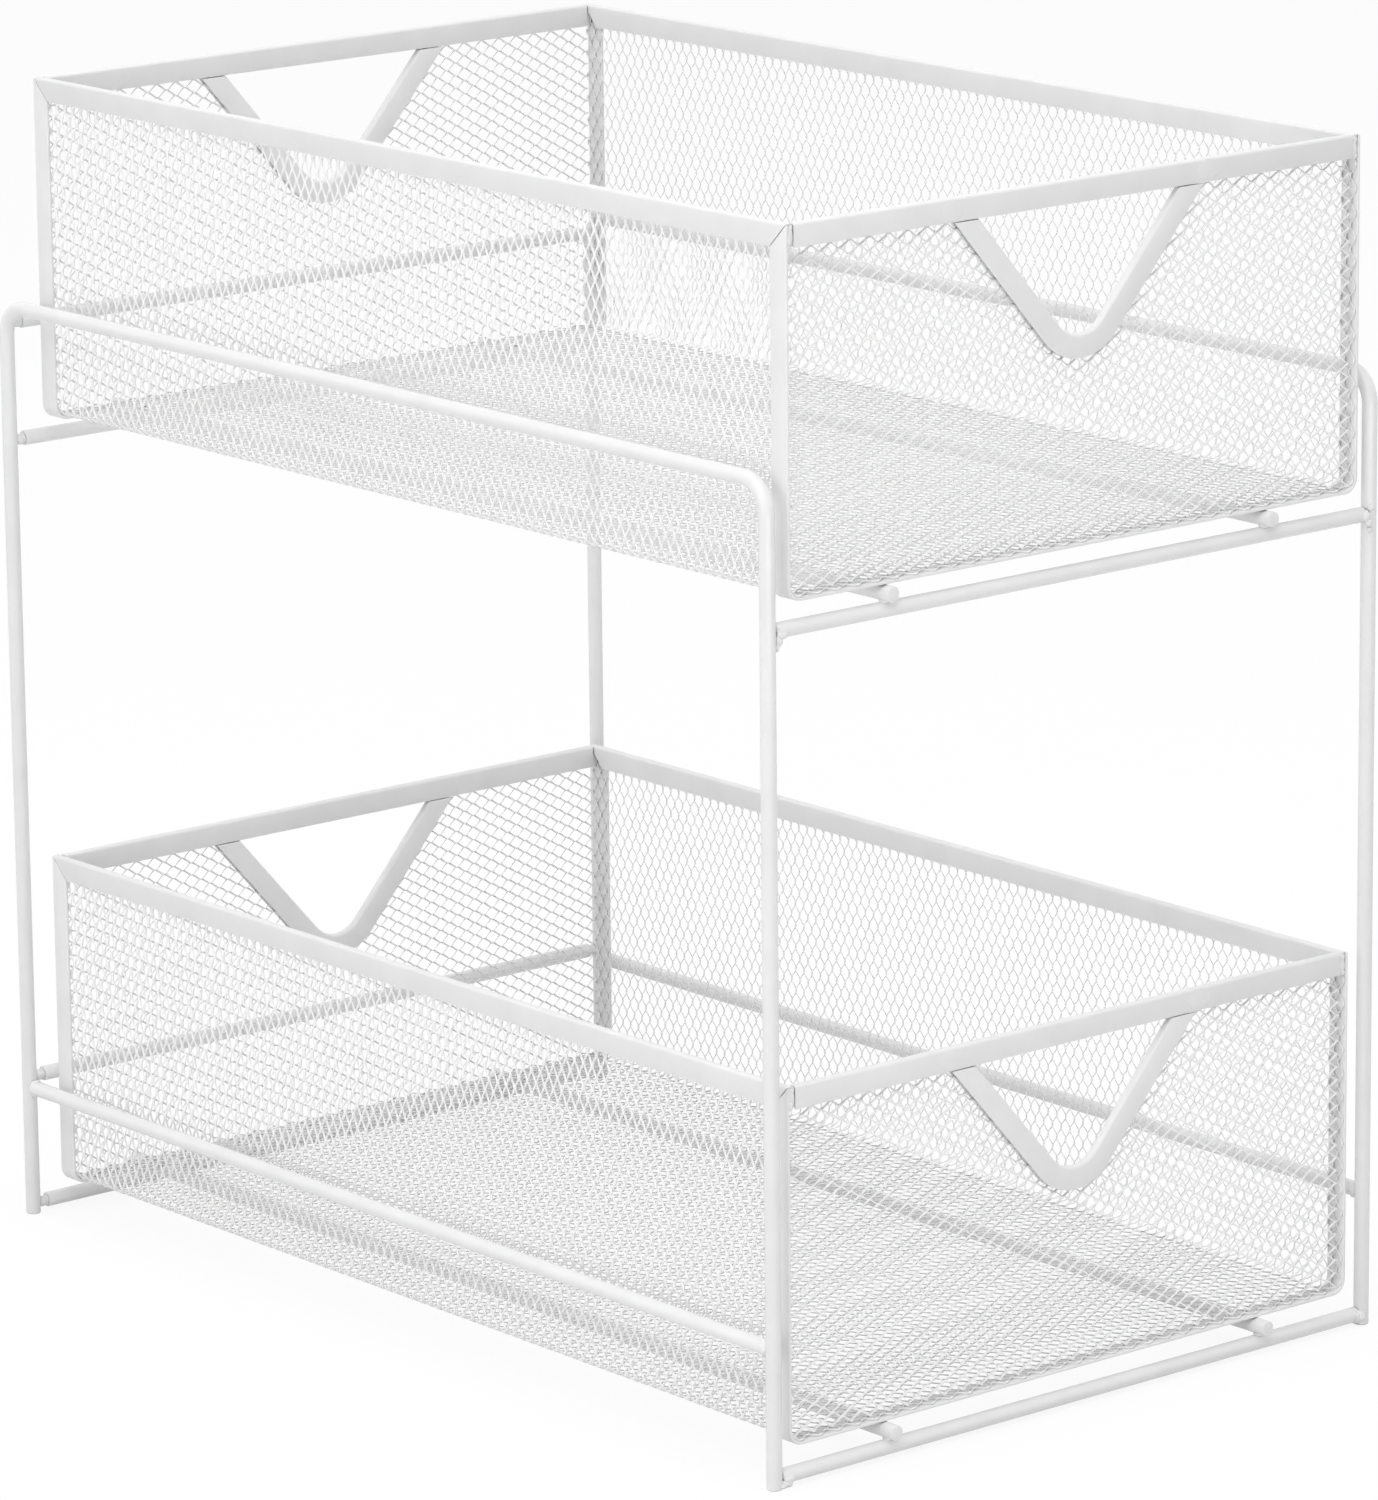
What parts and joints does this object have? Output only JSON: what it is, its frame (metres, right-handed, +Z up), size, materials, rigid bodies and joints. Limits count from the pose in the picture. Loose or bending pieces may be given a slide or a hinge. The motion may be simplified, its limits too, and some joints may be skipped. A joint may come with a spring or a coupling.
{
  "type": "mesh desk organizer",
  "caption": "White wire stand that carries an upper and a lower open basket of expanded metal mesh, each sliding out to the front on wire runners, with a V-shaped grip at each end.",
  "frame": {"origin": "on the ground under the middle of the stand: the centre of the bounding box's bottom face", "axes": "+Z up; the baskets slide out towards -Y, the front; +X to the right as seen from the front"},
  "size_m": [0.2566, 0.4, 0.3931],
  "materials": {
    "wire": "white powder coat, satin, on round steel wire",
    "strip": "white powder coat, satin, on flat steel strip",
    "mesh": "white powder coat, satin, on expanded steel mesh"
  },
  "bodies": {
    "stand": {"left_side_frame": "wire", "right_side_frame": "wire", "lower_front_crossbar": "wire", "lower_back_crossbar": "wire", "lower_stop_bar": "wire", "lower_left_runner": "wire", "lower_right_runner": "wire", "upper_front_crossbar": "wire", "upper_back_crossbar": "wire", "upper_stop_bar": "wire", "upper_left_runner": "wire", "upper_right_runner": "wire", "lower_left_guide": "wire", "lower_right_guide": "wire"},
    "lower_basket": {"lower_basket_floor_mesh": "mesh", "lower_basket_left_mesh": "mesh", "lower_basket_right_mesh": "mesh", "lower_basket_front_mesh_low": "mesh", "lower_basket_front_mesh_left": "mesh", "lower_basket_front_mesh_right": "mesh", "lower_basket_back_mesh_low": "mesh", "lower_basket_back_mesh_left": "mesh", "lower_basket_back_mesh_right": "mesh", "lower_basket_front_hoop": "strip", "lower_basket_back_hoop": "strip", "lower_basket_left_rim": "strip", "lower_basket_right_rim": "strip", "lower_basket_front_rim": "strip", "lower_basket_back_rim": "strip", "lower_basket_front_handle": "strip", "lower_basket_back_handle": "strip"},
    "upper_basket": {"upper_basket_floor_mesh": "mesh", "upper_basket_left_mesh": "mesh", "upper_basket_right_mesh": "mesh", "upper_basket_front_mesh_low": "mesh", "upper_basket_front_mesh_left": "mesh", "upper_basket_front_mesh_right": "mesh", "upper_basket_back_mesh_low": "mesh", "upper_basket_back_mesh_left": "mesh", "upper_basket_back_mesh_right": "mesh", "upper_basket_front_hoop": "strip", "upper_basket_back_hoop": "strip", "upper_basket_left_rim": "strip", "upper_basket_right_rim": "strip", "upper_basket_front_rim": "strip", "upper_basket_back_rim": "strip", "upper_basket_front_handle": "strip", "upper_basket_back_handle": "strip"}
  },
  "joints": [
    {"name": "lower_basket_slide", "type": "slide", "parent": "stand", "child": "lower_basket", "axis": [0, -1, 0], "range_m": [-0.0047, 0.39]},
    {"name": "upper_basket_slide", "type": "slide", "parent": "stand", "child": "upper_basket", "axis": [0, -1, 0], "range_m": [-0.0069, 0.39]}
  ]
}
